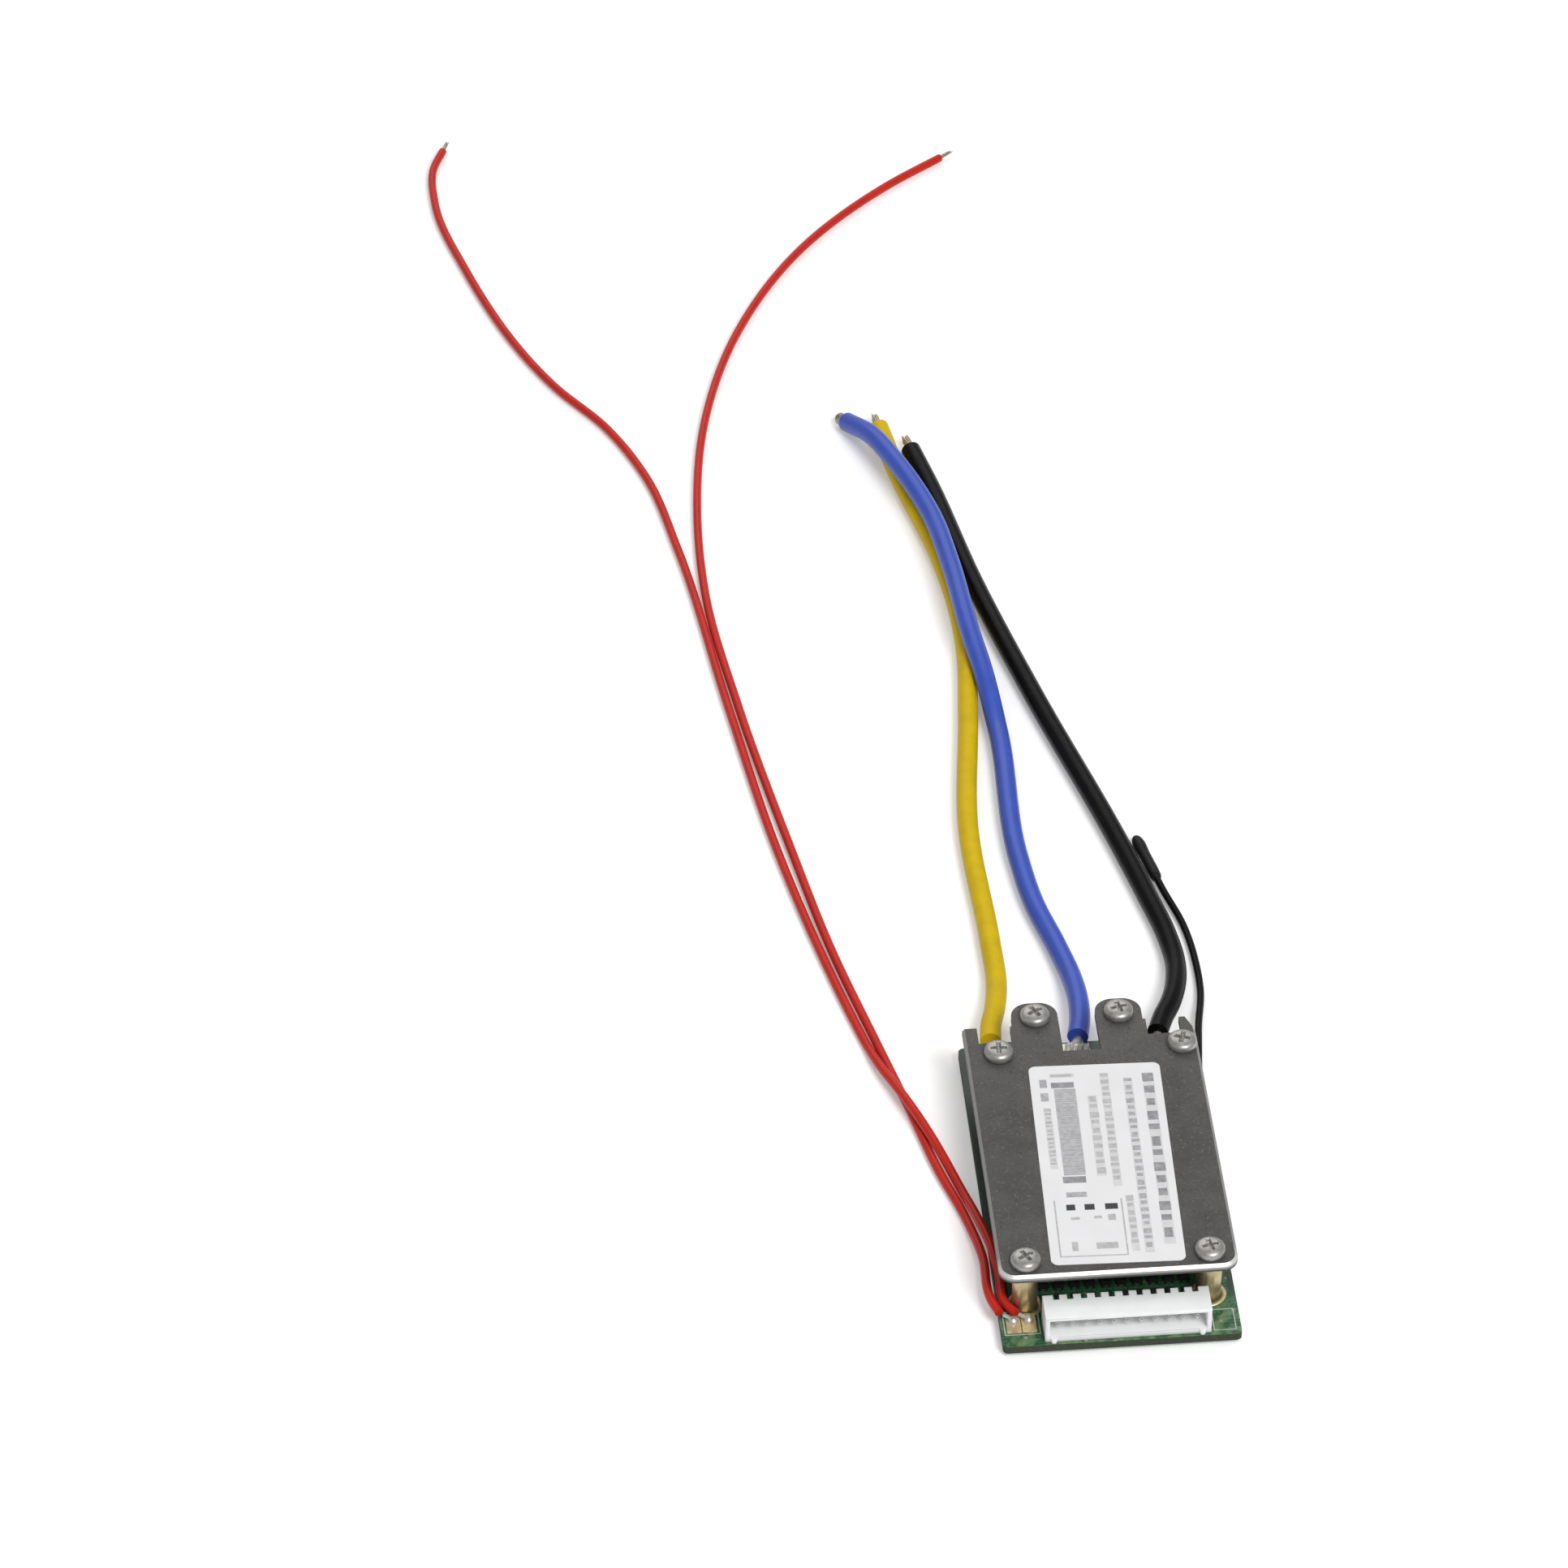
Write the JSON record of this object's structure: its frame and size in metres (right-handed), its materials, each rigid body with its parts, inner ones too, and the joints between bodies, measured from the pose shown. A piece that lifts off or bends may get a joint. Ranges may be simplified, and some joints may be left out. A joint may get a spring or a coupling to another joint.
{
  "type": "battery management board",
  "caption": "Battery management board with an aluminium heat plate on pillars, side-entry cell header, power leads, switch leads and a thermistor on a lead.",
  "frame": {"origin": "centre of the board unit's box, leads left out, at its bottom: the plane that the six pillar feet stand on", "axes": "+X to the right seen from the header end, +Y from the header to the end where the power leads leave, +Z from the board up to the heat plate"},
  "size_m": [0.1326, 0.3784, 0.0147],
  "materials": {
    "solder_mask": "glossy green coating",
    "blasted_aluminium": "dark, sand-blasted, with bright cut edges",
    "label_film": "satin white",
    "plated_steel": "nickel plated",
    "brass": "turned",
    "black_moulding": "fine matt",
    "tinned_metal": "matt tin plate",
    "thermal_silicone": "soft, matt",
    "natural_nylon": "slightly translucent",
    "solder": "bright, smooth",
    "resistor_film": "matt, with tinned ends",
    "ceramic": "fine ceramic, with tinned ends",
    "gilt_pad": "thin gold plate",
    "yellow_silicone": "slightly glossy",
    "blue_silicone": "slightly glossy",
    "black_silicone": "slightly glossy",
    "red_vinyl": "smooth, glossy",
    "strands": "tinned copper",
    "sleeve": "shrink sleeve"
  },
  "bodies": {
    "root": {"circuit_board": "solder_mask", "heat_plate": "blasted_aluminium", "label": "label_film", "corner_screws": "plated_steel", "lug_screws": "plated_steel", "corner_pillars": "brass", "lug_pillars": "brass", "charge_transistors": "black_moulding", "charge_tabs": "tinned_metal", "charge_legs": "tinned_metal", "discharge_transistors": "black_moulding", "discharge_tabs": "tinned_metal", "discharge_legs": "tinned_metal", "front_thermal_pad": "thermal_silicone", "rear_thermal_pad": "thermal_silicone", "header_housing": "natural_nylon", "header_contacts": "tinned_metal", "header_solder": "solder", "leg_solder": "solder", "balance_resistors": "resistor_film", "balance_switches": "black_moulding", "filter_capacitors": "ceramic", "monitor_chip": "black_moulding", "monitor_chip_legs": "tinned_metal", "current_resistors": "resistor_film", "power_pads": "solder", "switch_pads": "gilt_pad", "yellow_joint": "solder", "blue_joint": "solder", "black_joint": "solder", "switch_joints": "solder", "sensor_joint": "solder", "yellow_lead": "yellow_silicone", "yellow_strands": "strands", "blue_lead": "blue_silicone", "blue_strands": "strands", "black_lead": "black_silicone", "black_strands": "strands", "left_red_lead": "red_vinyl", "left_red_strands": "strands", "right_red_lead": "red_vinyl", "right_red_strands": "strands", "sensor_lead": "black_silicone", "sensor_sleeve": "sleeve"}
  },
  "joints": []
}
